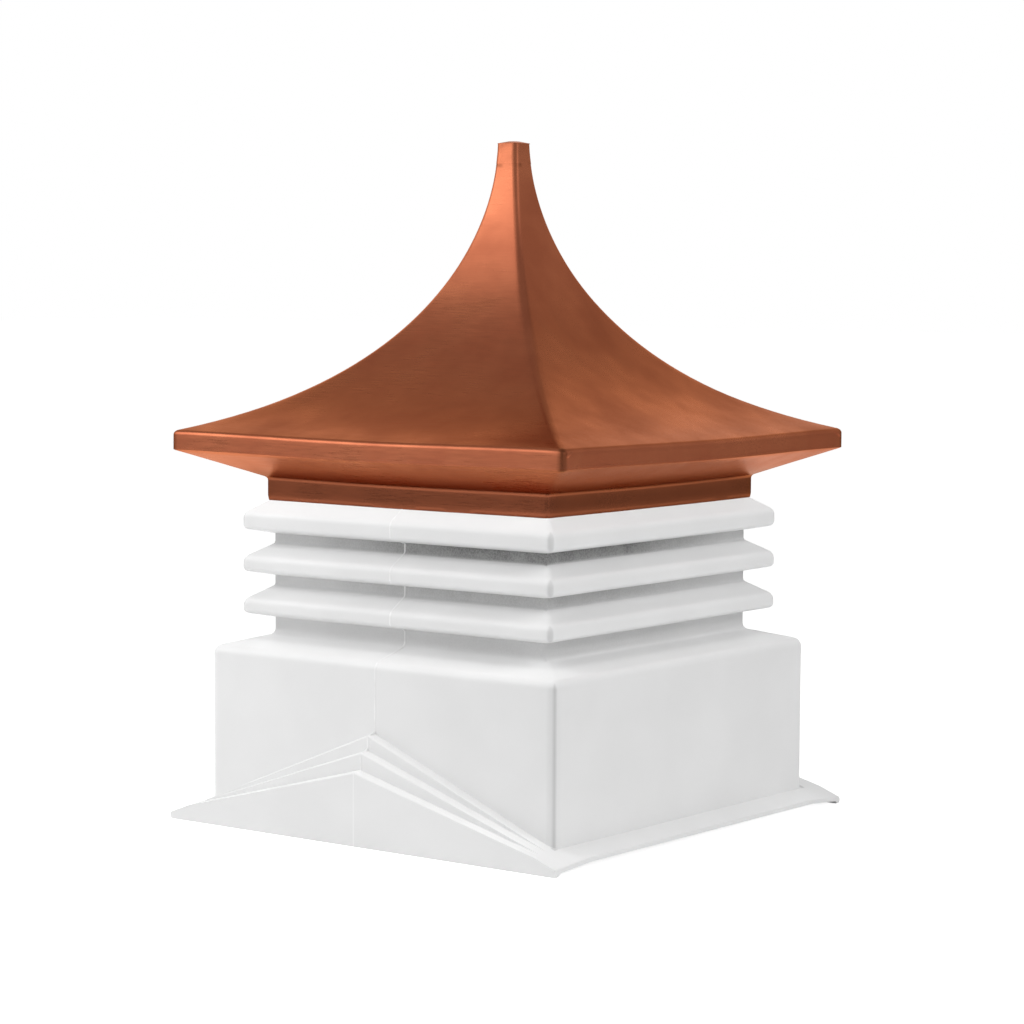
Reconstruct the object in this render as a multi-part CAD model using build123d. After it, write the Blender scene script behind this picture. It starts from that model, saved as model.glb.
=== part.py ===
from build123d import *
import math
import os

# Barn cupola: a moulded white polymer tower with three louvre ribs on a saddle base, under a
# four-sided copper roof that sweeps up to a square neck. Millimetres, +Z up. The origin is the
# centre of the base at floor level. The gable sides face -Y (front) and +Y (back), the eave
# sides face +X (right) and -X (left).

# Moulded body
polymer_wall = 5.0           # wall of the hollow moulding
wall_half = 305.0            # half the width across the base walls
wall_corner_radius = 15.0
wall_seam_height = 222.0     # where the upright walls end and the shoulder moulding starts
shoulder_edge_height = 245.0
shoulder_edge_radius = 13.0
tower_half = 241.0           # half the width across the recessed tower walls
tower_corner_radius = 6.0
tower_foot_height = 262.0    # where the sloping shoulder meets the tower
tower_foot_radius = 10.0
root_radius = 5.0            # soft inside corner at the foot of each recess

# Louvre ribs, square rings that hang from the tower like eaves
louvre_projection = 32.4     # of a rib's lip beyond the tower
louvre_corner_radius = 8.0
louvre_pitch = 59.6
first_louvre_height = 285.3  # underside of the lowest rib at the tower wall
louvre_underside_rise = 6.5
louvre_lip_heights = (19.0, 20.0, 23.0)  # upright front of each rib, before its edges are rounded
louvre_root_height = 46.0    # from the underside to the top of the slope, both at the wall
louvre_lower_edge_radius = 7.0
louvre_upper_edge_radius = 12.0
spigot_step = 5.3            # the tower's top stands out this far from the recessed walls

# Saddle: the foot of the body, moulded to sit over a roof ridge that runs front to back
saddle_wall = 5.0
saddle_ledge_width = 15.0    # each of three ledges steps this far out from the gable wall
saddle_ridge_heights = (149.5, 128.0, 103.0)
saddle_corner_height = 26.0  # foot of the base walls at the four corners
saddle_ledge_fall = 1.1      # a ledge's outer edge is this much below its inner edge
saddle_ledge_radius = 3.0    # rounding of a ledge's edge at the ridge, running out at the corners
eave_flange_width = 35.0
eave_flange_drop = 10.9      # fall of the flange from the wall to its edge
eave_flange_thickness = 5.6
gable_tip_drop = 13.2        # fall of the gable's top line from the wall corner to its tip
saddle_tip_radius = 3.5
saddle_cove_radius = 9.0     # inside corner between the flange and the gable panel

# Copper roof
copper = 2.0                 # sheet, drawn thicker than rolled copper
collar_bottom_height = 452.0  # the collar stands on the slope of the top rib
collar_height = 32.0
spigot_gap = 3.0             # the tower goes on up inside the collar, to this far below its top
soffit_rise = 39.5
fascia_half = 342.4
fascia_height = 28.1         # from the hem up to where the roof slope turns over the eave
fascia_edge_radius = 7.0
eave_slope = 0.298           # rise of the roof for each mm in from the eave
eave_reach = 270.0           # how far in from the eave the roof still keeps near that slope
overall_height = 959.0
neck_height = 24.2           # the square sleeve between the roof panels and the cap
neck_half = 19.4
neck_reach = 75.0            # how far down from the neck the roof stays nearly upright
neck_flare = 5.5             # half width that the roof gains over that reach
neck_top_half = 18.0
neck_corner_radius = 6.0
cap_height = 3.7
cap_rim_height = 1.0
cap_flat_half = 7.5
cap_bore_radius = 4.0        # for the rod of a finial or weathervane

# Heights and widths that follow from the sizes above
inner_half = wall_half - polymer_wall
flange_half = wall_half + eave_flange_width
gable_half = wall_half + saddle_ledge_width * len(saddle_ridge_heights)
tower_inner_half = tower_half - polymer_wall
louvre_half = tower_half + louvre_projection
spigot_half = tower_half + spigot_step
collar_half = spigot_half + copper
collar_top_height = collar_bottom_height + collar_height
fascia_bottom_height = collar_top_height + soffit_rise
fascia_top_height = fascia_bottom_height + fascia_height
cap_bottom_height = overall_height - cap_height
neck_bottom_height = cap_bottom_height - neck_height
recess_height = louvre_pitch - louvre_root_height
inner_corner_radius = 2.0    # inside corners of the tower

sides = {"front": 270, "right": 0, "back": 90, "left": 180}
reach = 2 * fascia_half      # longer than anything it cuts


# A rounded square at a height: one level of a ring round the tower.
def level(half, radius, height):
    return Plane.XY.offset(height) * RectangleRounded(2 * half, 2 * half, radius)


# A solid with flat sloping sides between levels, each a half width, corner radius and height.
def stack(levels):
    return loft([level(*each) for each in levels], ruled=True)


# Rounds the edges that run round a stack at one height.
def roundLevel(solid, height, radius):
    tolerance = 0.001
    edges = [
        edge
        for edge in solid.edges()
        if abs(edge.bounding_box().min.Z - height) < tolerance
        and abs(edge.bounding_box().max.Z - height) < tolerance
    ]
    return fillet(edges, radius)


# The quarter of space that one side of the tower stands in, between its two mitre planes.
def sector(side):
    corner = Polyline((0, 0), (reach, -reach), (reach, reach), close=True)
    prism = extrude(make_face(corner), amount=2 * overall_height)
    return Rot(0, 0, sides[side]) * prism


# A straight run of sheet round one side, drawn as a face in the X-Z plane at the right side.
def mitredRun(face, side):
    run = extrude(face, amount=reach, both=True)
    return (Rot(0, 0, sides[side]) * run) & sector(side)


def polygon(plane, points):
    return plane * make_face(Polyline(*points, close=True))


def write(name, solid):
    shape = solid.solids()
    if len(shape) != 1:
        raise ValueError(f"{name} has {len(shape)} solids")
    export_step(shape[0], os.path.join("parts", name + ".step"))


# ---- Saddle foot ----

gable_fall = saddle_ledge_fall / saddle_ledge_width


# Height of the top line of the gable's end, out from the wall corner.
def gableEndHeight(x, y):
    out = (x - wall_half) / eave_flange_width
    return saddle_corner_height - gable_tip_drop * out - gable_fall * (y - wall_half)


def flangeHeight(x):
    return saddle_corner_height - eave_flange_drop * (x - wall_half) / eave_flange_width


# Where the flange's slope gives way to the gable end's slope, which is the hip at a corner.
def hipPlace(x):
    return wall_half - (flangeHeight(x) - gableEndHeight(x, wall_half)) / gable_fall


# The eave side of the saddle as a solid, with its end faces in by inset and its top down.
def eaveBlock(start, end, inset, down):
    sections = []
    for x in (start, end):
        far = gable_half - inset
        hip = hipPlace(x)
        end_height = gableEndHeight(x, far) - down
        side_height = flangeHeight(x) - down
        points = [
            (-far, 0),
            (far, 0),
            (far, end_height),
            (hip, side_height),
            (-hip, side_height),
            (-far, end_height),
        ]
        sections.append(polygon(Plane.YZ.offset(x), points))
    return loft(sections, ruled=True)


# A section of the back gable: its pitch rises from both corners to the ridge.
def gableSection(y, ridge, corner):
    points = [
        (-wall_half, 0),
        (wall_half, 0),
        (wall_half, corner),
        (0, ridge),
        (-wall_half, corner),
    ]
    return polygon(Plane.XZ.offset(-y), points)


# One ledge of the back gable between two distances from the centre. Its top falls outward, and
# its outer edge is rounded in flat strips by the radius.
def ledge(start, end, ridge, corner, radius):
    strips = 4
    sections = [gableSection(start, ridge, corner)]
    for strip in range(strips + 1) if radius > 0 else [strips]:
        angle = math.radians(90 * strip / strips)
        y = end - radius * (1 - math.sin(angle))
        fall = gable_fall * (y - start)
        drop = fall + radius * (1 - math.cos(angle))
        sections.append(gableSection(y, ridge - drop, corner - fall))
    return loft(sections, ruled=True)


# The three ledges of the back gable as a solid, with each face in by inset and its top down.
def gableBlock(inset, down, radius):
    block = extrude(
        gableSection(inner_half - inset, saddle_ridge_heights[0] - down, saddle_corner_height - down),
        amount=-(polymer_wall + inset),
    )
    for step, ridge in enumerate(saddle_ridge_heights):
        inner = wall_half + step * saddle_ledge_width
        outer = inner + saddle_ledge_width - inset
        start = inner if step == 0 else inner - inset
        corner = saddle_corner_height - gable_fall * (start - wall_half) - down
        block += ledge(start, outer, ridge - down, corner, radius)
    return block


def bothGables(block):
    return block + mirror(block, about=Plane.XZ)


def bothEaves(block):
    return block + mirror(block, about=Plane.YZ)


# The plane of the lowest ledge's top carries the walls, so it is also the foot of all four.
seat_face = gableSection(0, saddle_ridge_heights[0], saddle_corner_height)
seat = extrude(seat_face, amount=wall_half, both=True)


def saddle():
    middle = Box(2 * inner_half, 2 * inner_half, 2 * overall_height)
    outer = bothGables(gableBlock(0, 0, saddle_ledge_radius))
    outer += bothEaves(eaveBlock(wall_half, flange_half, 0, 0))
    outer += seat - middle
    outer = outer.clean()
    tips = [
        edge
        for edge in outer.edges()
        if abs(abs(edge.center().X) - flange_half) < 0.001
        and abs(edge.tangent_at(0.5).Y) > 0.9
    ]
    outer = fillet(tips, saddle_tip_radius)
    hollow = bothGables(gableBlock(saddle_wall, saddle_wall, 0))
    # The hollow under the flanges is drawn past both of its ends, so that it cuts them open.
    past = 1.0
    under_flange = eaveBlock(
        inner_half - past, flange_half + past, saddle_wall, eave_flange_thickness
    )
    cove = [
        edge
        for edge in under_flange.edges()
        if abs(abs(edge.center().Y) - (gable_half - saddle_wall)) < 0.001
        and abs(edge.tangent_at(0.5).X) > 0.7
        and edge.center().Z > 1
    ]
    hollow += bothEaves(fillet(cove, saddle_cove_radius))
    return outer - hollow - middle


# ---- Base walls, shoulder and tower ----


def baseWalls():
    ring = stack(
        [
            (wall_half, wall_corner_radius, 0),
            (wall_half, wall_corner_radius, wall_seam_height),
        ]
    )
    ring -= stack(
        [
            (inner_half, wall_corner_radius - polymer_wall, 0),
            (inner_half, wall_corner_radius - polymer_wall, wall_seam_height),
        ]
    )
    return ring - seat


# The shoulder slopes in to the tower and carries the lowest recessed wall, up to the first rib.
def shoulder():
    inner_radius = wall_corner_radius - polymer_wall
    inner_edge_height = shoulder_edge_height - polymer_wall
    inner_foot_height = tower_foot_height - polymer_wall
    outer = stack(
        [
            (wall_half, wall_corner_radius, wall_seam_height),
            (wall_half, wall_corner_radius, shoulder_edge_height),
            (tower_half, tower_corner_radius, tower_foot_height),
            (tower_half, tower_corner_radius, first_louvre_height),
        ]
    )
    outer = roundLevel(outer, shoulder_edge_height, shoulder_edge_radius)
    outer = roundLevel(outer, tower_foot_height, tower_foot_radius)
    inner = stack(
        [
            (inner_half, inner_radius, wall_seam_height),
            (inner_half, inner_radius, inner_edge_height),
            (tower_inner_half, inner_corner_radius, inner_foot_height),
            (tower_inner_half, inner_corner_radius, first_louvre_height),
        ]
    )
    inner = roundLevel(inner, inner_edge_height, shoulder_edge_radius - polymer_wall)
    return outer - inner


# One louvre rib with the recessed wall over it. The top rib's slope ends at the spigot, which
# stands inside the collar.
def louvre(number, lip_height):
    underside = first_louvre_height + number * louvre_pitch
    lip_bottom = underside + louvre_underside_rise
    lip_top = lip_bottom + lip_height
    is_top = number == len(louvre_lip_heights) - 1
    root = collar_bottom_height if is_top else underside + louvre_root_height
    top = collar_top_height - spigot_gap if is_top else underside + louvre_pitch
    wall = spigot_half if is_top else tower_half
    outer = stack(
        [
            (tower_half, tower_corner_radius, underside),
            (louvre_half, louvre_corner_radius, lip_bottom),
            (louvre_half, louvre_corner_radius, lip_top),
            (wall, tower_corner_radius, root),
            (wall, tower_corner_radius, top),
        ]
    )
    outer = roundLevel(outer, lip_bottom, louvre_lower_edge_radius)
    outer = roundLevel(outer, lip_top, louvre_upper_edge_radius)
    if not is_top:
        outer = roundLevel(outer, root, min(root_radius, recess_height / 2))
    slope = (root - lip_top) / (louvre_half - wall)
    underside_slope = louvre_underside_rise / (louvre_half - tower_half)
    # An inner face is the outer one moved in by the wall, square to the face, so its ends rise or
    # fall by what the slope and the wall give.
    lift = polymer_wall * (math.hypot(1, underside_slope) - underside_slope)
    drop = polymer_wall * (math.hypot(1, slope) - slope)
    return outer - stack(
        [
            (tower_inner_half, inner_corner_radius, underside),
            (tower_inner_half, inner_corner_radius, underside + lift),
            (louvre_half - polymer_wall, inner_corner_radius, lip_bottom + lift),
            (louvre_half - polymer_wall, inner_corner_radius, lip_top - drop),
            (wall - polymer_wall, inner_corner_radius, root - drop),
            (wall - polymer_wall, inner_corner_radius, top),
        ]
    )


# ---- Copper roof ----


def collarFace():
    points = [
        (collar_half - copper, collar_bottom_height),
        (collar_half, collar_bottom_height),
        (collar_half, collar_top_height),
        (collar_half - copper, collar_top_height),
    ]
    return polygon(Plane.XZ, points)


def soffitFace():
    outer = fascia_half - copper
    points = [
        (collar_half - copper, collar_top_height),
        (collar_half, collar_top_height),
        (outer, fascia_bottom_height),
        (outer, fascia_bottom_height + copper),
        (collar_half - copper, collar_top_height + copper),
    ]
    return polygon(Plane.XZ, points)


# The roof slope turns over the eave in an arc, which starts where its tangent is the slope.
eave_angle = math.atan(eave_slope)
eave_turn_half = fascia_half - fascia_edge_radius * (1 - math.sin(eave_angle))
eave_drop = fascia_edge_radius * math.cos(eave_angle)


def fasciaFace():
    centre = (fascia_half - fascia_edge_radius, fascia_top_height - eave_drop)
    start_angle = 90 - math.degrees(eave_angle)
    inner_radius = fascia_edge_radius - copper
    outer_arc = CenterArc(centre, fascia_edge_radius, 0, start_angle)
    inner_arc = CenterArc(centre, inner_radius, 0, start_angle)
    bottom = fascia_bottom_height
    outer_line = Line((fascia_half, bottom), outer_arc @ 0)
    inner_line = Line((fascia_half - copper, bottom), inner_arc @ 0)
    hem = Line((fascia_half, bottom), (fascia_half - copper, bottom))
    joint = Line(outer_arc @ 1, inner_arc @ 1)
    return Plane.XZ * make_face([outer_line, outer_arc, joint, inner_arc, inner_line, hem])


# The roof's line from the neck down to the eave, and the same line moved in for the sheet's back.
def roofCurve(inward, downward):
    neck = (neck_half - inward, neck_bottom_height)
    below_neck = (neck_half + neck_flare - inward, neck_bottom_height - neck_reach - downward)
    eave = (
        eave_turn_half - inward * math.sin(eave_angle),
        fascia_top_height - downward * math.cos(eave_angle),
    )
    above_eave = (
        eave_turn_half - eave_reach - inward * math.sin(eave_angle),
        fascia_top_height + eave_slope * eave_reach - downward * math.cos(eave_angle),
    )
    return Bezier(neck, below_neck, above_eave, eave)


def roofFace():
    outer = roofCurve(0, 0)
    inner = roofCurve(copper, copper)
    top = Line(outer @ 0, inner @ 0)
    bottom = Line(outer @ 1, inner @ 1)
    return Plane.XZ * make_face([outer, bottom, inner, top])


def neckSleeve():
    outer = stack(
        [
            (neck_half, neck_corner_radius, neck_bottom_height),
            (neck_top_half, neck_corner_radius, cap_bottom_height),
        ]
    )
    inner = stack(
        [
            (neck_half - copper, neck_corner_radius - copper, neck_bottom_height),
            (neck_top_half - copper, neck_corner_radius - copper, cap_bottom_height),
        ]
    )
    return outer - inner


def neckCap():
    cap = stack(
        [
            (neck_top_half, neck_corner_radius, cap_bottom_height),
            (neck_top_half, neck_corner_radius, cap_bottom_height + cap_rim_height),
            (cap_flat_half, neck_corner_radius, overall_height),
        ]
    )
    return cap - Pos(0, 0, cap_bottom_height) * Cylinder(cap_bore_radius, 4 * cap_height)


os.makedirs("parts", exist_ok=True)

foot = saddle()
strip = Box(4 * wall_half, 2 * inner_half, 2 * overall_height)
gables = foot - strip
flanges = foot & strip
write("gable_skirt_front", gables.solids().sort_by(Axis.Y)[0])
write("gable_skirt_back", gables.solids().sort_by(Axis.Y)[-1])
write("eave_flange_left", flanges.solids().sort_by(Axis.X)[0])
write("eave_flange_right", flanges.solids().sort_by(Axis.X)[-1])

walls = baseWalls()
shoulders = shoulder()
louvres = [louvre(number, lip_height) for number, lip_height in enumerate(louvre_lip_heights)]
for side in sides:
    quarter = sector(side)
    write("base_wall_" + side, walls & quarter)
    write("shoulder_" + side, shoulders & quarter)
    for number, ring in enumerate(louvres):
        write(f"louvre_{number + 1}_{side}", ring & quarter)
    write("collar_" + side, mitredRun(collarFace(), side))
    write("soffit_" + side, mitredRun(soffitFace(), side))
    write("fascia_" + side, mitredRun(fasciaFace(), side))
    write("roof_panel_" + side, mitredRun(roofFace(), side))

write("neck_sleeve", neckSleeve())
write("neck_cap", neckCap())
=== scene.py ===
import math

import bpy
from mathutils import Matrix, Vector


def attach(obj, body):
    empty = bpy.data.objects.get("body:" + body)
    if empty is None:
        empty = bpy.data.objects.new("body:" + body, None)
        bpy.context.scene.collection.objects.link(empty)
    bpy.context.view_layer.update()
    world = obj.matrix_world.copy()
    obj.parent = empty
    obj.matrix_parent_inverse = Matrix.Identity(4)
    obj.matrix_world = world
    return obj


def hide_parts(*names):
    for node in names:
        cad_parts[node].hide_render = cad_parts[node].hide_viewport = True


# Barn cupola: white moulded tower under a swept copper roof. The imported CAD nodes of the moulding
# stay and get their material; the copper is remodelled here as formed sheet.

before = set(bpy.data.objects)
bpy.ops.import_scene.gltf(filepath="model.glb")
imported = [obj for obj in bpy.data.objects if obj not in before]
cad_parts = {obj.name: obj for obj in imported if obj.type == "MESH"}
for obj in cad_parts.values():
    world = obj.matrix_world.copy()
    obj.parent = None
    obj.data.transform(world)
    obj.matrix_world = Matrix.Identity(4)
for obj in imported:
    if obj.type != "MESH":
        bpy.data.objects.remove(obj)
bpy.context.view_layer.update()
sides = ("front", "right", "back", "left")
print("frame loaded:", len(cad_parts), "nodes")


# sRGB hex to the linear colour that the shaders take
def linearColour(hexCode):
    channels = [int(hexCode[i : i + 2], 16) / 255 for i in (1, 3, 5)]
    return [c / 12.92 if c <= 0.04045 else ((c + 0.055) / 1.055) ** 2.4 for c in channels] + [1]


# adds one node: settings are its properties, inputs are values or the sockets that feed it
def addNode(tree, kind, inputs=None, **settings):
    node = tree.nodes.new("ShaderNode" + kind)
    for key, value in settings.items():
        setattr(node, key, value)
    for key, value in (inputs or {}).items():
        if isinstance(value, bpy.types.NodeSocket):
            tree.links.new(value, node.inputs[key])
        else:
            node.inputs[key].default_value = value
    return node


def newMaterial(name):
    material = bpy.data.materials.new(name)
    material.use_nodes = True
    material.node_tree.nodes.clear()
    return material, material.node_tree


# a value taken from one range to another
def remap(tree, value, fromRange, toRange, **settings):
    inputs = {0: value, 1: fromRange[0], 2: fromRange[1], 3: toRange[0], 4: toRange[1]}
    return addNode(tree, "MapRange", inputs, **settings).outputs[0]


def calculate(tree, operation, *values):
    return addNode(tree, "Math", dict(enumerate(values)), operation=operation).outputs[0]


# the second colour laid over the first by a share
def layColour(tree, share, under, over, **settings):
    return addNode(tree, "Mix", {0: share, 6: under, 7: over}, data_type="RGBA", **settings).outputs[2]


# noise whose lumps are about spacing metres apart
def noise(tree, place, spacing, detail, **inputs):
    inputs = {"Vector": place, "Scale": 1 / spacing, "Detail": detail, **inputs}
    return addNode(tree, "TexNoise", inputs).outputs["Fac"]


# a colour ramp of (place, linear colour) stops
def colourRamp(tree, value, stops):
    node = addNode(tree, "ValToRGB", {"Fac": value})
    elements = node.color_ramp.elements
    while len(elements) < len(stops):
        elements.new(1)
    for element, (place, colour) in zip(elements, stops):
        element.position = place
        element.color = colour
    return node.outputs[0]


def bump(tree, height, distance, **inputs):
    inputs = {"Height": height, "Distance": distance, **inputs}
    return addNode(tree, "Bump", inputs).outputs[0]


# distance of a point from the tower's middle planes: sideways, forward, the larger and the smaller
def middleDistances(tree, axes):
    sideways = calculate(tree, "ABSOLUTE", axes.outputs[0])
    forward = calculate(tree, "ABSOLUTE", axes.outputs[1])
    outward = calculate(tree, "MAXIMUM", sideways, forward)
    inward = calculate(tree, "MINIMUM", sideways, forward)
    return sideways, forward, outward, inward


def finishMaterial(tree, inputs):
    shader = addNode(tree, "BsdfPrincipled", inputs)
    addNode(tree, "OutputMaterial", {"Surface": shader.outputs[0]})


def grey(value):
    return [value, value, value, 1]


def deselectAll():
    if bpy.context.object and bpy.context.object.mode == "EDIT":
        bpy.ops.object.mode_set(mode="OBJECT")
    bpy.ops.object.select_all(action="DESELECT")


def activate(piece):
    deselectAll()
    piece.select_set(True)
    bpy.context.view_layer.objects.active = piece


# selects faces, edges or vertices in edit mode by a test on the element
def selectWhere(piece, part, test):
    bpy.ops.mesh.select_mode(type={"vertices": "VERT", "edges": "EDGE", "polygons": "FACE"}[part])
    bpy.ops.mesh.select_all(action="DESELECT")
    bpy.ops.object.mode_set(mode="OBJECT")
    for element in getattr(piece.data, part):
        element.select = bool(test(element))
    bpy.ops.object.mode_set(mode="EDIT")


def edgeAlong(piece, edge):
    a, b = (piece.data.vertices[i].co for i in edge.vertices)
    return b - a


def modify(piece, kind, **settings):
    activate(piece)
    modifier = piece.modifiers.new(kind.lower(), kind)
    for key, value in settings.items():
        setattr(modifier, key, value)
    bpy.ops.object.modifier_apply(modifier=modifier.name)


def smooth(piece, degrees):
    activate(piece)
    bpy.ops.object.shade_smooth_by_angle(angle=math.radians(degrees))


def dress(piece, material, slotName):
    piece.data.materials.clear()
    piece.data.materials.append(material)
    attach(piece, "root")
    # the studio's light is all round, so the copper throws no colour and no shadow on the body
    piece.visible_diffuse = piece.visible_shadow = slotName != "copper"


# cloud texture for a Displace modifier
def clouds(name, size, depth=1):
    texture = bpy.data.textures.new(name, "CLOUDS")
    texture.noise_scale = size
    texture.noise_depth = depth
    return texture


# Rolled copper sheet, satin, with a first thin oxide from handling: a soft blurred reflection,
# slow blotches of tone, fine drag marks and a few dark specks; painted shade darkens it under
# the eaves and on the fascia's rounded corners.
copperLook = {
    "bright": "#BE7050",
    "dark": "#AE6347",
    "oxideAndShade": "#6E3E28",
    "eaveShadeTone": "#7E4630",     # painted shade under the eaves, on the collar and the soffit's inner part
    "paintedEaveShade": (0.479, 0.504),  # heights between which the painted eave shade fades out
    "edgeTint": "#E8C8B6",      # the sheet stays copper red where it is seen along its face
    "roughness": 0.31,
    "crimpHeight": 0.9262,      # where the neck sleeve is crimped on and the flux has stained it
    "crimpReach": 0.0055,       # how far above and below it the stain goes
    "stain": 1 / 75,            # spacing of the stain's patches
    "stainShare": 0.65,
    "cornerShadeStart": 0.331,         # where painted shade on the fascia's rounded corners starts, from the tower's middle planes
    "cornerShadeFade": 0.007,
    # share of the painted shade on the fascia's corners
    "foldShare": 0.75,
    "blotch": 0.11,             # metres between blotches
    "drag": 0.0016,             # spacing of the drag marks
    "dragLength": 20,           # how many times longer than wide they are
    "dragStrength": 0.22,
    "dragDepth": 0.00005,
    "speck": 0.009,             # spacing of the specks
    "speckPatch": 1 / 26,       # and of the patches that they come in
    "speckShare": 0.5,
    "ripple": 0.05,             # spacing of the ripples left by forming
    "rippleHeight": 0.0006,
}


def rolledSatinCopper():
    look = copperLook
    material, tree = newMaterial("rolled satin copper")
    place = addNode(tree, "TexCoord").outputs["Object"]
    axes = addNode(tree, "SeparateXYZ", {0: place})
    height = axes.outputs[2]
    blotch = noise(tree, place, look["blotch"], 3)
    tones = [(0.36, linearColour(look["dark"])), (0.64, linearColour(look["bright"]))]
    colour = colourRamp(tree, blotch, tones)
    # painted shade: the copper under the eaves is darkened towards the collar
    paintedEaveShade = remap(tree, height, look["paintedEaveShade"], (1, 0), interpolation_type="SMOOTHSTEP")
    colour = layColour(tree, paintedEaveShade, colour, linearColour(look["eaveShadeTone"]))
    # drag marks run along the sheet, so the pattern is stretched along it
    stretch = (1 / look["dragLength"], 1, 1)
    along = addNode(tree, "Mapping", {"Vector": place, "Scale": stretch}).outputs[0]
    drag = noise(tree, along, look["drag"], 2)
    dragTone = colourRamp(tree, drag, [(0.3, grey(1 - 0.35 * look["dragStrength"])), (0.7, grey(1))])
    colour = layColour(tree, 1, colour, dragTone, blend_type="MULTIPLY")
    # specks, only where their patches lie
    speck = addNode(tree, "TexVoronoi", {"Vector": place, "Scale": 1 / look["speck"]})
    dot = colourRamp(tree, speck.outputs["Distance"], [(0.05, grey(1)), (0.09, grey(0))])
    some = calculate(tree, "GREATER_THAN", noise(tree, place, look["speckPatch"], 1), 0.6)
    dots = calculate(tree, "MULTIPLY", dot, some)
    dots = calculate(tree, "MULTIPLY", dots, look["speckShare"])
    # the flux stain along the crimp
    offCrimp = calculate(tree, "SUBTRACT", height, look["crimpHeight"])
    offCrimp = calculate(tree, "ABSOLUTE", offCrimp)
    nearCrimp = remap(tree, offCrimp, (0, look["crimpReach"]), (1, 0))
    patches = remap(tree, noise(tree, place, look["stain"], 1), (0.45, 0.70), (0, look["stainShare"]))
    stain = calculate(tree, "MULTIPLY", nearCrimp, patches)
    # painted shade: the fascia's rounded corners are darkened with the oxide tone
    inward = middleDistances(tree, axes)[3]
    cornerShadeRange = (look["cornerShadeStart"], look["cornerShadeStart"] + look["cornerShadeFade"])
    fasciaCornerShade = remap(tree, inward, cornerShadeRange, (0, look["foldShare"]))
    # the specks and the crimp stain are real marks; the corners' darkening is painted shade
    marksAndShade = calculate(tree, "MAXIMUM", dots, stain)
    marksAndShade = calculate(tree, "MAXIMUM", marksAndShade, fasciaCornerShade)
    colour = layColour(tree, marksAndShade, colour, linearColour(look["oxideAndShade"]))
    rough = remap(tree, blotch, (0.3, 0.7), (look["roughness"] + 0.07, look["roughness"] - 0.05))
    roughDrag = remap(tree, drag, (0.3, 0.7), (-0.04, 0.05))
    ripple = bump(tree, noise(tree, place, look["ripple"], 1), look["rippleHeight"])
    fine = bump(tree, drag, look["dragDepth"], Strength=look["dragStrength"], Normal=ripple)
    finishMaterial(
        tree,
        {
            "Base Color": colour,
            "Roughness": calculate(tree, "ADD", rough, roughDrag),
            "Normal": fine,
            "Metallic": 1,
            "Specular Tint": linearColour(look["edgeTint"]),
        },
    )
    return material


roofCopper = rolledSatinCopper()

# Tin solder, wiped and dulled: a greyer, duller lump on the copper.
solderLook = {
    "bright": "#9C6A4E",
    "dark": "#6B4431",
    "roughness": 0.5,
    "lump": 0.002,
    "lumpHeight": 0.0003,
}


def wipedSolder():
    look = solderLook
    material, tree = newMaterial("wiped solder")
    place = addNode(tree, "TexCoord").outputs["Object"]
    lump = noise(tree, place, look["lump"], 2)
    tones = [(0.3, linearColour(look["dark"])), (0.7, linearColour(look["bright"]))]
    finishMaterial(
        tree,
        {
            "Base Color": colourRamp(tree, lump, tones),
            "Roughness": look["roughness"],
            "Metallic": 1,
            "Normal": bump(tree, lump, look["lumpHeight"]),
        },
    )
    return material


solder = wipedSolder()

# Pared polyethylene: the mould's parting line after a blade has run down it, glossier than the skin
# beside it and drawn whiter as a painted highlight, a faint light thread down the gable sides.
threadLook = {
    # the white is a painted highlight
    "white": "#F8F8F8",
    "cut": "#EEEEEE",
    "roughness": 0.32,
    "chatter": 0.012,        # spacing of the marks that the blade leaves
    "chatterHeight": 0.0001,
    "ior": 1.51,
}


def paredPolyethyleneHighlighted():
    look = threadLook
    material, tree = newMaterial("pared polyethylene with painted highlight")
    place = addNode(tree, "TexCoord").outputs["Object"]
    chatter = noise(tree, place, look["chatter"], 2)
    tones = [(0.35, linearColour(look["cut"])), (0.6, linearColour(look["white"]))]
    finishMaterial(
        tree,
        {
            "Base Color": colourRamp(tree, chatter, tones),
            "Roughness": look["roughness"],
            "Normal": bump(tree, chatter, look["chatterHeight"]),
            "IOR": look["ior"],
        },
    )
    return material


paredThreadHighlight = paredPolyethyleneHighlighted()

# Rotomoulded polyethylene, white: a satin skin with slow sink marks and a little orange peel. On
# the tower's recessed walls the powder has not flowed out, so they are pitted and speckled, and
# painted shade greys them.
polymerLook = {
    "white": "#EDEDED",
    "shade": "#E9E9E9",
    # grey of the pits, also used for painted shade in the recesses and on the upright corners
    "pitAndShadeGrey": "#5E5E5D",
    "roughness": 0.42,
    "ior": 1.51,
    "sink": 0.14,                # metres between sink marks
    "sinkDepth": 0.0012,
    "peel": 0.004,               # spacing of the orange peel
    "peelDepth": 0.00006,
    "pitSize": 0.0020,           # drawn coarser than the real 1 mm so that it shows
    "pitDepth": 0.0001,
    "pitPatch": 1 / 28,          # spacing of the patches that the pits come in
    "recess": (0.2413, 0.2448),  # distance from the middle planes at which the recesses end
    "recessHeights": (0.30, 0.43),
    "recessShadeShares": (0.17, 0.90),
    "wallHalf": 0.305,
    "ribHalf": 0.2734,
    "wallCornerShade": 0.28,
    "ribCornerShade": 0.18,
    "cornerShadeHeights": (0.275, 0.285),  # the walls' painted corner shade ends and the ribs' begins
    "gableFace": 0.350,
    "threadHalf": 0.0009,
    "threadHighlightShare": 0.7,
}


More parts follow.
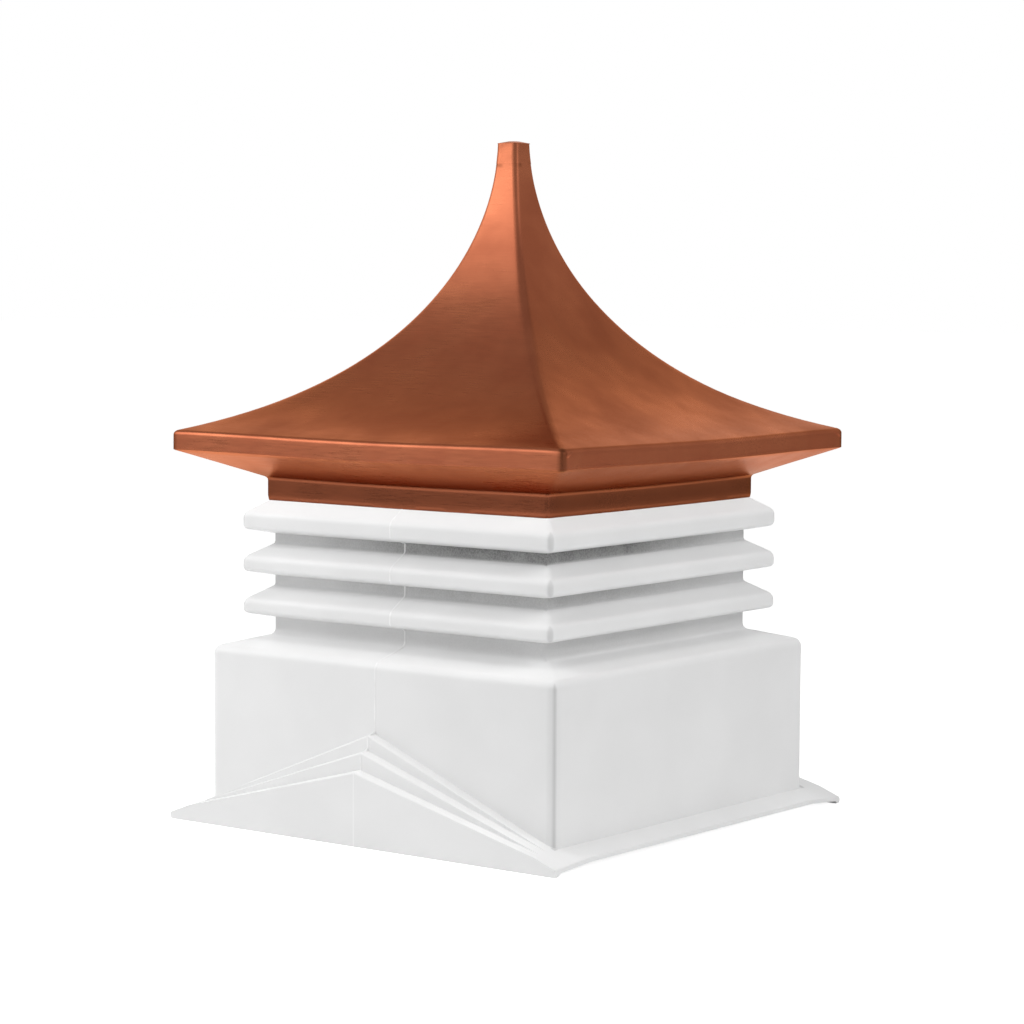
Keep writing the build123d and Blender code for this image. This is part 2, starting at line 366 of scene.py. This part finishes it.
# how far the pits and the painted shade darken a place
def pitsAndPaintedShade(tree, look, place, axes, outward, pits):
    recess = remap(tree, outward, look["recess"], (1, 0))
    # painted shade: darker the higher it lies and the nearer it is to the front right corner
    high = remap(tree, axes.outputs[2], look["recessHeights"], look["recessShadeShares"])
    cornerwards = calculate(tree, "SUBTRACT", axes.outputs[0], axes.outputs[1])
    recessCornerShade = remap(tree, cornerwards, (0.05, 0.30), (0.27, 1.02))
    pitMask = remap(tree, pits, (0.35, 0.65), (1.15, 0.82))
    patchMask = remap(tree, noise(tree, place, look["pitPatch"], 2), (0.35, 0.65), (0.9, 1.08))
    share = recess
    for mask in (high, recessCornerShade, pitMask, patchMask):
        share = calculate(tree, "MULTIPLY", share, mask)
    return share


# painted shade: the upright corners of the walls and of the ribs are darkened, where they turn away
# from the lamps
def paintedCornerShade(tree, look, axes, outward, inward):
    edgeShade = 0
    for half, share, shares in (
        (look["wallHalf"], look["wallCornerShade"], (1, 0)),
        (look["ribHalf"], look["ribCornerShade"], (0, 1)),
    ):
        zone = remap(tree, axes.outputs[2], look["cornerShadeHeights"], shares)
        inside = remap(tree, outward, (half + 0.001, half + 0.002), (1, 0))
        edge = remap(tree, inward, (half - 0.0075, half - 0.0045), (0, share))
        edge = calculate(tree, "MULTIPLY", edge, zone)
        edge = calculate(tree, "MULTIPLY", edge, inside)
        edgeShade = calculate(tree, "MAXIMUM", edge, edgeShade)
    return edgeShade


# painted highlight: on the gables' flat foot the parting line is only a lighter thread painted into
# the skin
def footHighlightThread(tree, look, sideways, forward):
    face = look["gableFace"]
    half = look["threadHalf"]
    foot = remap(tree, forward, (face - 0.001, face - 0.0004), (0, look["threadHighlightShare"]))
    highlightThread = remap(tree, sideways, (half - 0.0002, half + 0.0002), (1, 0))
    return calculate(tree, "MULTIPLY", highlightThread, foot)


def rotomouldedPolyethylene():
    look = polymerLook
    material, tree = newMaterial("rotomoulded polyethylene")
    place = addNode(tree, "TexCoord").outputs["Object"]
    axes = addNode(tree, "SeparateXYZ", {0: place})
    sideways, forward, outward, inward = middleDistances(tree, axes)
    sink = noise(tree, place, look["sink"], 2)
    pits = noise(tree, place, look["pitSize"], 3, Roughness=0.7)
    tones = [(0.35, linearColour(look["shade"])), (0.65, linearColour(look["white"]))]
    colour = colourRamp(tree, sink, tones)
    pitsAndShade = pitsAndPaintedShade(tree, look, place, axes, outward, pits)
    colour = layColour(tree, pitsAndShade, colour, linearColour(look["pitAndShadeGrey"]))
    # painted shade on the upright corners
    uprightCornerShade = paintedCornerShade(tree, look, axes, outward, inward)
    colour = layColour(tree, uprightCornerShade, colour, linearColour(look["pitAndShadeGrey"]))
    # painted highlight of the parting line on the gables' flat foot
    highlightThread = footHighlightThread(tree, look, sideways, forward)
    colour = layColour(tree, highlightThread, colour, linearColour(threadLook["white"]))
    rough = remap(tree, sink, (0.3, 0.7), (look["roughness"] + 0.06, look["roughness"] - 0.04))
    slow = bump(tree, sink, look["sinkDepth"])
    fine = bump(tree, noise(tree, place, look["peel"], 1), look["peelDepth"], Normal=slow)
    pitsAndShade = calculate(tree, "MULTIPLY_ADD", pitsAndShade, 0.3, rough)
    sunken = {"Height": pits, "Distance": look["pitDepth"], "Normal": fine}
    pitBump = addNode(tree, "Bump", sunken, invert=True)
    finishMaterial(
        tree,
        {
            "Base Color": colour,
            "Roughness": pitsAndShade,
            "Normal": pitBump.outputs[0],
            "IOR": look["ior"],
        },
    )
    return material


whitePolymer = rotomouldedPolyethylene()

for name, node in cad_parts.items():
    isWhite = name.startswith(("louvre", "shoulder", "base_wall", "gable", "eave"))
    node.material_slots[0].material = whitePolymer if isWhite else roofCopper
print("materials made")


roofShape = {
    "eaveHalf": 0.3418,      # face of the fascia, just inside the hem
    "hemHeight": 0.5235,
    "turnHeight": 0.5516,    # where the slope turns over the eave
    "turnRadius": 0.007,
    "turnSteps": 6,
    "fasciaSteps": 4,
    "slope": 0.298,
    "eaveReach": 0.270,      # how far in the roof keeps near its slope at the eave
    "neckHalf": 0.0194,
    "neckHeight": 0.9311,
    "neckReach": 0.075,      # how far down from the neck the roof stays nearly upright
    "neckFlare": 0.0055,     # half width that it gains over that reach
    "levels": 44,
    "cuts": 30,
    "hipRounding": 0.008,    # at the eave; the neck has a share of it
    "neckShare": 0.94,
    "foldShare": 0.6,        # and so do the folds of the fascia
    "sheet": 0.0011,
    "sag": 0.0024,           # of an eave, halfway along
    "wave": 0.0012,          # dents and swells left by forming
}


# half width and height along the roof's line, from the eave (0) to the neck (1)
def roofLine(share):
    shape = roofShape
    angle = math.atan(shape["slope"])
    turn = shape["eaveHalf"] - shape["turnRadius"] * (1 - math.sin(angle))
    control = [
        (turn, shape["turnHeight"]),
        (turn - shape["eaveReach"], shape["turnHeight"] + shape["slope"] * shape["eaveReach"]),
        (shape["neckHalf"] + shape["neckFlare"], shape["neckHeight"] - shape["neckReach"]),
        (shape["neckHalf"], shape["neckHeight"]),
    ]
    rest = 1 - share
    weights = [rest**3, 3 * share * rest**2, 3 * share**2 * rest, share**3]
    return tuple(sum(w * point[i] for w, point in zip(weights, control)) for i in (0, 1))


# a four-sided shell raised level by level from a square
def raiseSquare(name, levels):
    deselectAll()
    half, height = levels[0]
    bpy.ops.mesh.primitive_plane_add(size=2 * half, location=(0, 0, height))
    piece = bpy.context.object
    piece.name = name
    bpy.ops.object.transform_apply()
    bpy.ops.object.mode_set(mode="EDIT")
    bpy.ops.mesh.delete(type="ONLY_FACE")
    bpy.ops.mesh.select_mode(type="EDGE")
    bpy.ops.mesh.select_all(action="SELECT")
    for (fromHalf, fromHeight), (toHalf, toHeight) in zip(levels, levels[1:]):
        rise = {"value": (0, 0, toHeight - fromHeight)}
        bpy.ops.mesh.extrude_edges_move(TRANSFORM_OT_translate=rise)
        ratio = toHalf / fromHalf
        bpy.ops.transform.resize(value=(ratio, ratio, 1), center_override=(0, 0, toHeight))
    bpy.ops.object.mode_set(mode="OBJECT")
    return piece


# makes a shell's faces point away from the tower's middle line
def faceOutwards(piece, height):
    activate(piece)
    bpy.ops.object.mode_set(mode="EDIT")
    bpy.ops.mesh.select_all(action="SELECT")
    bpy.ops.mesh.normals_make_consistent(inside=False)
    bpy.ops.object.mode_set(mode="OBJECT")
    middle = Vector((0, 0, height))
    score = sum((face.center - middle).dot(face.normal) * face.area for face in piece.data.polygons)
    if score < 0:
        bpy.ops.object.mode_set(mode="EDIT")
        bpy.ops.mesh.flip_normals()
        bpy.ops.object.mode_set(mode="OBJECT")


sagShape = {"band": 0.012, "middle": 0.02, "reach": 0.3}


# whether a point lies in an eave's edge halfway along the side that faces the given way
def inMiddleOfEave(point, way, half, low, high):
    across = Vector((-way.y, way.x, 0))
    isEdge = point.dot(way) > half - sagShape["band"]
    return isEdge and abs(point.dot(across)) < sagShape["middle"] and low < point.z < high


# lets the eaves hang a little halfway along each side
def sagEaves(piece, half, low, high):
    activate(piece)
    bpy.ops.object.mode_set(mode="EDIT")
    for turn in range(4):
        way = Matrix.Rotation(turn * math.pi / 2, 3, "Z") @ Vector((1, 0, 0))
        selectWhere(piece, "vertices", lambda v: inMiddleOfEave(v.co, way, half, low, high))
        bpy.ops.transform.translate(
            value=(0, 0, -roofShape["sag"]),
            use_proportional_edit=True,
            proportional_edit_falloff="SMOOTH",
            proportional_size=sagShape["reach"],
        )
    bpy.ops.object.mode_set(mode="OBJECT")


# rounds the four hips, the edges that rise, by a share of width that weight gives for a height
def roundHips(piece, width, weight=lambda height: 1):
    mesh = piece.data
    hips = mesh.attributes.new("bevel_weight_edge", "FLOAT", "EDGE")
    for edge in mesh.edges:
        a, b = (mesh.vertices[i].co for i in edge.vertices)
        hips.data[edge.index].value = weight((a.z + b.z) / 2) if abs(a.z - b.z) > 1e-6 else 0
    modify(piece, "BEVEL", limit_method="WEIGHT", width=width, segments=5, profile=0.5)


# divides the four sides of a shell once its hips are rounded
def divideSides(piece, cuts):
    activate(piece)
    bpy.ops.object.mode_set(mode="EDIT")

    def crossesMiddle(edge):
        a, b = (piece.data.vertices[i].co for i in edge.vertices)
        level = abs(a.z - b.z) < 1e-5
        return level and min(abs(a.x + b.x), abs(a.y + b.y)) < 1e-4 and (a - b).length > 0.01

    selectWhere(piece, "edges", crossesMiddle)
    bpy.ops.mesh.subdivide(number_cuts=cuts)
    bpy.ops.object.mode_set(mode="OBJECT")


# swells or dents a surface along its normals
def displace(piece, texture, strength, level=0.5):
    modify(piece, "DISPLACE", texture=texture, strength=strength, mid_level=level)


# gives formed copper its thickness, inwards, and its material
def finishSheet(piece, thickness):
    modify(piece, "SOLIDIFY", thickness=thickness, offset=-1)
    smooth(piece, 40)
    dress(piece, roofCopper, "copper")


def makeRoofSkin():
    shape = roofShape
    angle = math.atan(shape["slope"])
    half, radius = shape["eaveHalf"], shape["turnRadius"]
    turnBottom = shape["turnHeight"] - radius * math.cos(angle)
    levels = [(half, shape["hemHeight"] + 0.0004)]
    upright = (turnBottom - shape["hemHeight"]) / shape["fasciaSteps"]
    levels += [(half, shape["hemHeight"] + step * upright) for step in range(1, shape["fasciaSteps"])]
    for step in range(shape["turnSteps"] + 1):
        swing = (math.pi / 2 - angle) * step / shape["turnSteps"]
        levels.append((half - radius * (1 - math.cos(swing)), turnBottom + radius * math.sin(swing)))
    for step in range(1, shape["levels"] + 1):
        levels.append(roofLine(step / shape["levels"]))
    piece = raiseSquare("roof_skin", levels)
    span = shape["neckHeight"] - shape["turnHeight"]
    faceOutwards(piece, 0.45)

    def weight(height):
        share = min(max((height - shape["turnHeight"]) / span, 0), 1)
        return 1 + (shape["neckShare"] - 1) * share**0.5 if share > 0.005 else shape["foldShare"]

    roundHips(piece, shape["hipRounding"], weight)
    divideSides(piece, shape["cuts"])
    displace(piece, clouds("forming swells", 0.17, 1), shape["wave"])
    sagEaves(piece, half, shape["hemHeight"] - 0.01, shape["turnHeight"] + 0.002)
    finishSheet(piece, shape["sheet"])
    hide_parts(*[f"{part}_{side}" for part in ("roof_panel", "fascia") for side in sides])


# The soffit and the collar are one folded sheet; its hem wraps the foot of the fascia.
skirtShape = {
    "collarHalf": 0.2483,
    "collarFoot": 0.4515,
    "collarTop": 0.4840,
    "collarSteps": 4,
    "footTurn": (0.0018, 0.0008),  # the foot's edge is turned in a little, in two steps
    "footEdge": 0.0012,  # height of the turned edge
    "bendRadius": 0.0065,
    "bendSteps": 6,
    "soffitSteps": 8,
    "hemHalf": 0.3422,
    "hemFoot": 0.5229,
    "hemTop": 0.5270,
    "hemTurn": (0.0012, 0.0010),   # in and up, where the soffit turns into the hem
    "cuts": 30,
    "sheet": 0.0008,
    "rounding": 0.006,
    "swell": 0.0008,
    "trim": 0.0022,      # how far the hand-cut foot wanders
}


def makeEaveSkirt():
    shape = skirtShape
    rise = shape["hemFoot"] - shape["collarTop"]
    run = shape["hemHalf"] - 0.002 - shape["collarHalf"]
    tilt = math.atan2(rise, run)
    bend = math.pi / 2 - tilt
    tangent = shape["bendRadius"] * math.tan(bend / 2)
    foot = shape["collarFoot"]
    start = shape["collarTop"] - tangent
    half, radius = shape["collarHalf"], shape["bendRadius"]
    turnFoot, turnTop = shape["footTurn"]
    levels = [(half - turnFoot, foot), (half - turnTop, foot + shape["footEdge"])]
    upright = (start - foot) / shape["collarSteps"]
    levels += [(half, foot + step * upright) for step in range(1, shape["collarSteps"] + 1)]
    for step in range(1, shape["bendSteps"] + 1):
        swing = bend * step / shape["bendSteps"]
        levels.append((half + radius * (1 - math.cos(swing)), start + radius * math.sin(swing)))
    bendEnd = Vector(levels[-1])
    hemStart = Vector((shape["hemHalf"] - shape["hemTurn"][0], shape["hemFoot"]))
    for step in range(1, shape["soffitSteps"] + 1):
        levels.append(tuple(bendEnd.lerp(hemStart, step / shape["soffitSteps"])))
    levels.append((shape["hemHalf"], shape["hemFoot"] + shape["hemTurn"][1]))
    levels.append((shape["hemHalf"], shape["hemTop"]))
    piece = raiseSquare("eave_skirt", levels)
    faceOutwards(piece, 0.60)
    roundHips(piece, shape["rounding"])
    divideSides(piece, shape["cuts"])
    footGroup = piece.vertex_groups.new(name="foot")
    footGroup.add([v.index for v in piece.data.vertices if v.co.z < foot + 0.0005], 1, "REPLACE")
    modify(
        piece,
        "DISPLACE",
        texture=clouds("hand trimming", 0.06, 2),
        direction="Z",
        vertex_group="foot",
        strength=shape["trim"],
        mid_level=0.45,
    )
    displace(piece, clouds("skirt swells", 0.12, 1), shape["swell"])
    sagEaves(piece, shape["hemHalf"], shape["hemFoot"] - 0.004, shape["hemTop"] + 0.002)
    finishSheet(piece, shape["sheet"])
    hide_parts(*[f"{part}_{side}" for part in ("soffit", "collar") for side in sides])


makeRoofSkin()
makeEaveSkirt()
print("roof skin and eave skirt made")


# The neck sleeve is worked down flush over the roof's top.
sleeveShape = {
    "foot": 0.9273,
    "top": 0.9553,
    "footHalf": 0.0198,
    "topHalf": 0.0180,
    "rounding": 0.0074,
    "sheet": 0.0012,
    "steps": 14,
    "cuts": 9,
    "dent": 0.0006,
}


def makeNeckSleeve():
    shape = sleeveShape
    levels = []
    for step in range(shape["steps"] + 1):
        share = step / shape["steps"]
        half = shape["footHalf"] + (shape["topHalf"] - shape["footHalf"]) * share**0.7
        levels.append((half, shape["foot"] + (shape["top"] - shape["foot"]) * share))
    piece = raiseSquare("neck_sleeve_worked", levels)
    faceOutwards(piece, shape["foot"])
    roundHips(piece, shape["rounding"])
    divideSides(piece, shape["cuts"])
    displace(piece, clouds("neck dents", 0.02, 1), shape["dent"])
    finishSheet(piece, shape["sheet"])
    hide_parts("neck_sleeve")


makeNeckSleeve()


# the same small piece at all four corners, mirrored across the tower
def cornerCopies(first, baseName):
    copies = []
    for corner, (flipX, flipY) in {
        "front_right": (1, 1),
        "back_right": (1, -1),
        "front_left": (-1, 1),
        "back_left": (-1, -1),
    }.items():
        piece = first.copy()
        piece.data = first.data.copy()
        bpy.context.collection.objects.link(piece)
        piece.data.transform(Matrix.Diagonal((flipX, flipY, 1, 1)))
        if flipX * flipY < 0:
            piece.data.flip_normals()
        piece.name = f"{baseName}_{corner}"
        copies.append(piece)
    bpy.data.objects.remove(first)
    return copies


# A small tab of the fascia's sheet folded round each corner and pressed flat.
lapShape = {
    "width": 0.010,
    "foot": 0.5385,
    "height": 0.0085,
    "thickness": 0.0012,
    "fromCorner": 0.008,
    "slant": (0.004, -0.0075),  # how far the free side's top and foot move along the fascia
    "lift": 0.001,
    "rounding": 0.0004,
}


def makeCornerLap():
    shape = lapShape
    half = roofShape["eaveHalf"]
    deselectAll()
    along = shape["fromCorner"] + shape["width"] / 2 - half
    middle = Vector((half, along, shape["foot"] + shape["height"] / 2))
    size = (shape["thickness"], shape["width"], shape["height"])
    bpy.ops.mesh.primitive_cube_add(size=1, location=middle, scale=size)
    piece = bpy.context.object
    bpy.ops.object.transform_apply()
    bpy.ops.object.mode_set(mode="EDIT")
    # the free side is cut on a slant
    selectWhere(piece, "vertices", lambda v: v.co.y > middle.y and v.co.z > middle.z)
    bpy.ops.transform.translate(value=(0, shape["slant"][0], 0))
    selectWhere(piece, "vertices", lambda v: v.co.y > middle.y and v.co.z < middle.z)
    bpy.ops.transform.translate(value=(0, shape["slant"][1], shape["lift"]))
    bpy.ops.mesh.select_all(action="SELECT")
    bpy.ops.mesh.bevel(offset=shape["rounding"], segments=2)
    bpy.ops.object.mode_set(mode="OBJECT")
    return piece


for lap in cornerCopies(makeCornerLap(), "corner_lap"):
    smooth(lap, 40)
    dress(lap, roofCopper, "copper")


# Solder wiped round the rod hole on the cap.
ringShape = {"radius": 0.0068, "thickness": 0.0017, "height": 0.9566, "lump": 0.0022}


def makeSolderRing():
    shape = ringShape
    deselectAll()
    bpy.ops.mesh.primitive_torus_add(
        major_radius=shape["radius"],
        minor_radius=shape["thickness"],
        major_segments=36,
        minor_segments=10,
        location=(0, 0, shape["height"]),
    )
    piece = bpy.context.object
    piece.name = "solder_ring"
    bpy.ops.object.transform_apply()
    displace(piece, clouds("solder lumps", 0.006, 2), shape["lump"], 0.55)
    smooth(piece, 60)
    dress(piece, solder, "copper")


makeSolderRing()
print("neck, laps and solder made")


# The mould's parting line: a thin thread of polymer that follows the moulding down the middle of a
# gable side, to the top of the gable's flat foot.
partingShape = {
    "width": 0.0022,
    "height": 0.0003,
    "low": 0.103,
    "high": 0.452,
    "step": 0.0012,
    "away": 0.40,  # the strip starts this far out and is then laid on the moulding
}


# one mesh of all the moulding's parts on a side, to lay the strip on
def joinedMoulding(side):
    copies = []
    for part in ("louvre_1", "louvre_2", "louvre_3", "shoulder", "base_wall", "gable_skirt"):
        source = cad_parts[part + "_" + side]
        twin = source.copy()
        twin.data = source.data.copy()
        for key in list(twin.keys()):
            del twin[key]
        twin.parent = None
        bpy.context.collection.objects.link(twin)
        copies.append(twin)
    for twin in copies:
        twin.select_set(True)
    bpy.context.view_layer.objects.active = copies[0]
    bpy.ops.object.join()
    return bpy.context.object


def makePartingLine(side, way):
    shape = partingShape
    deselectAll()
    target = joinedMoulding(side)
    deselectAll()
    bpy.ops.mesh.primitive_plane_add(
        size=1,
        location=(0, way * shape["away"], 0),
        rotation=(math.pi / 2, 0, 0),
    )
    piece = bpy.context.object
    piece.name = "parting_line_" + side
    length = shape["high"] - shape["low"]
    piece.scale = (shape["width"], length, 1)
    piece.location.z = (shape["high"] + shape["low"]) / 2
    bpy.ops.object.transform_apply()
    bpy.ops.object.mode_set(mode="EDIT")
    selectWhere(piece, "edges", lambda e: abs(edgeAlong(piece, e).z) > length / 2)
    bpy.ops.mesh.subdivide(number_cuts=round(length / shape["step"]))
    bpy.ops.object.mode_set(mode="OBJECT")
    modify(
        piece,
        "SHRINKWRAP",
        target=target,
        wrap_method="PROJECT",
        use_project_y=True,
        use_negative_direction=way > 0,
        use_positive_direction=way < 0,
    )
    bpy.data.objects.remove(target)
    activate(piece)
    bpy.ops.object.mode_set(mode="EDIT")
    bpy.ops.mesh.select_all(action="SELECT")
    bpy.ops.object.mode_set(mode="OBJECT")
    if sum(face.normal.y * face.area for face in piece.data.polygons) * way < 0:
        bpy.ops.object.mode_set(mode="EDIT")
        bpy.ops.mesh.flip_normals()
        bpy.ops.object.mode_set(mode="OBJECT")
    modify(piece, "SOLIDIFY", thickness=2 * shape["height"], offset=0)
    smooth(piece, 45)
    dress(piece, paredThreadHighlight, "moulded_body")


makePartingLine("front", -1)
makePartingLine("back", 1)
print("parting lines made")


stageLook = {
    "floor": "#EAEAEA",
    "floorSize": 60,
    "floorLift": 0.80,            # extra white that only the camera sees on the floor
    "floorPool": 0.90,            # painted pool of light: extra white round the tower that only the copper's reflections see
    "floorFar": 0.20,             # and further out
    "poolRange": (1.2, 3.0),      # metres over which the one turns into the other
    "backdrop": 1.22,
    "horizon": 0.88,
    "horizonRange": (0.02, 0.16),  # heights of a sight line, as for the ceiling
    "ceiling": 0.42,
    "ceilingRange": (0.60, 0.67),
    "ceilingTilt": 0.10,          # the ceiling is hung lower over the back
    "diffuseShare": 0.36,         # of the backdrop's light that reaches matt surfaces
    "room": (38, 0.40, (0.62, 0.84)),   # the unlit room behind the camera: azimuth, share, range
    "wing": (146, 0.50, (0.58, 0.86)),  # the dark end of the studio
}


def mixValues(tree, share, first, second):
    return addNode(tree, "Mix", {0: share, 2: first, 3: second}, data_type="FLOAT").outputs[0]


def whiteSweepFloor():
    look = stageLook
    material, tree = newMaterial("white studio floor")
    rays = addNode(tree, "LightPath").outputs
    matt = addNode(tree, "BsdfDiffuse", {"Color": linearColour(look["floor"])})
    place = addNode(tree, "TexCoord").outputs["Object"]
    away = addNode(tree, "VectorMath", {0: place}, operation="LENGTH").outputs["Value"]
    # a painted pool of light on the floor, seen only in reflections
    pool = remap(tree, away, look["poolRange"], (look["floorPool"], look["floorFar"]))
    mirrored = calculate(tree, "MULTIPLY", pool, rays["Is Glossy Ray"])
    strength = mixValues(tree, rays["Is Camera Ray"], mirrored, look["floorLift"])
    lift = addNode(tree, "Emission", {"Color": grey(1), "Strength": strength})
    both = addNode(tree, "AddShader", {0: matt.outputs[0], 1: lift.outputs[0]})
    addNode(tree, "OutputMaterial", {"Surface": both.outputs[0]})
    return material


def studioWorld():
    look = stageLook
    world = bpy.data.worlds.new("studio")
    world.use_nodes = True
    sky = world.node_tree
    sky.nodes.clear()
    rays = addNode(sky, "LightPath").outputs
    way = addNode(sky, "TexCoord").outputs["Generated"]
    sightLine = addNode(sky, "SeparateXYZ", {0: way})
    height = sightLine.outputs[2]
    hung = calculate(sky, "MULTIPLY_ADD", sightLine.outputs[1], look["ceilingTilt"], height)
    rise = remap(sky, height, look["horizonRange"], (look["horizon"], look["backdrop"]))
    band = remap(sky, hung, look["ceilingRange"], (1, look["ceiling"] / look["backdrop"]))
    studio = calculate(sky, "MULTIPLY", rise, band)
    for azimuth, share, edges in (look["room"], look["wing"]):
        turned = math.radians(azimuth)
        middle = (math.sin(turned), -math.cos(turned), 0)
        towards = addNode(sky, "VectorMath", {0: way, 1: middle}, operation="DOT_PRODUCT")
        inside = remap(sky, towards.outputs["Value"], edges, (1, share))
        studio = calculate(sky, "MULTIPLY", studio, inside)
    matt = remap(sky, rays["Is Diffuse Ray"], (0, 1), (1, look["diffuseShare"]))
    lit = calculate(sky, "MULTIPLY", studio, matt)
    strength = mixValues(sky, rays["Is Camera Ray"], lit, 1)
    glow = addNode(sky, "Background", {"Color": grey(1), "Strength": strength})
    addNode(sky, "OutputWorld", {"Surface": glow.outputs[0]})
    return world


deselectAll()
bpy.ops.mesh.primitive_plane_add(size=stageLook["floorSize"], location=(0, 0, 0))
floor = bpy.context.object
floor.name = "studio_floor"
floor.data.materials.append(whiteSweepFloor())
bpy.context.scene.world = studioWorld()


towerMiddle = 0.45  # height that the lamps are turned to


# a soft box that looks at the tower; a fill is not mirrored in the copper
def softBox(name, place, size, radiance, isFill):
    data = bpy.data.lights.new(name, "AREA")
    data.shape = "RECTANGLE"
    data.size, data.size_y = size
    data.energy = radiance * math.pi * size[0] * size[1]
    lamp = bpy.data.objects.new(name, data)
    bpy.context.collection.objects.link(lamp)
    lamp.location = place
    sight = Vector((0, 0, towerMiddle)) - Vector(place)
    lamp.rotation_euler = sight.to_track_quat("-Z", "Y").to_euler()
    lamp.visible_glossy = not isFill


# place, size, radiance, and whether it is only a fill
lamps = {
    "left_soft_box": ((-1.8, -1.75, 1.55), (1.4, 1.2), 1.52, False),
    "left_fill": ((-1.7, -1.5, 1.8), (1.0, 1.0), 7.4, True),
    "front_fill": ((-0.7, -2.6, 2.3), (1.6, 1.6), 1.6, True),
    "right_fill": ((2.7, 0.0, 2.2), (1.6, 1.6), 5.2, True),
    "top_fill": ((0.5, -0.5, 3.4), (1.5, 1.5), 4.2, True),
}
for name, values in lamps.items():
    softBox(name, *values)

# the camera looks from a little above, with the front gable to its left
cameraView = {
    "lens": 105.42,
    "sensor": 36.0,
    "azimuth": 37.35,
    "elevation": 4.63,
    "roll": 0.265,
    "target": (0, 0, 0.4322),
    "distance": 4.2922,
    "clipEnd": 200,
}
camera = bpy.data.objects.new("camera", bpy.data.cameras.new("camera"))
bpy.context.collection.objects.link(camera)
camera.data.lens = cameraView["lens"]
camera.data.sensor_width = cameraView["sensor"]
camera.data.clip_end = cameraView["clipEnd"]
turn = Matrix.Rotation(math.radians(cameraView["azimuth"]), 4, "Z")
turn @= Matrix.Rotation(math.radians(90 - cameraView["elevation"]), 4, "X")
turn @= Matrix.Rotation(math.radians(cameraView["roll"]), 4, "Z")
back = (turn.to_3x3() @ Vector((0, 0, 1))) * cameraView["distance"]
camera.matrix_world = Matrix.Translation(Vector(cameraView["target"]) + back) @ turn
bpy.context.scene.camera = camera
bpy.context.scene.view_settings.view_transform = "Standard"
print("floor, light and camera set")
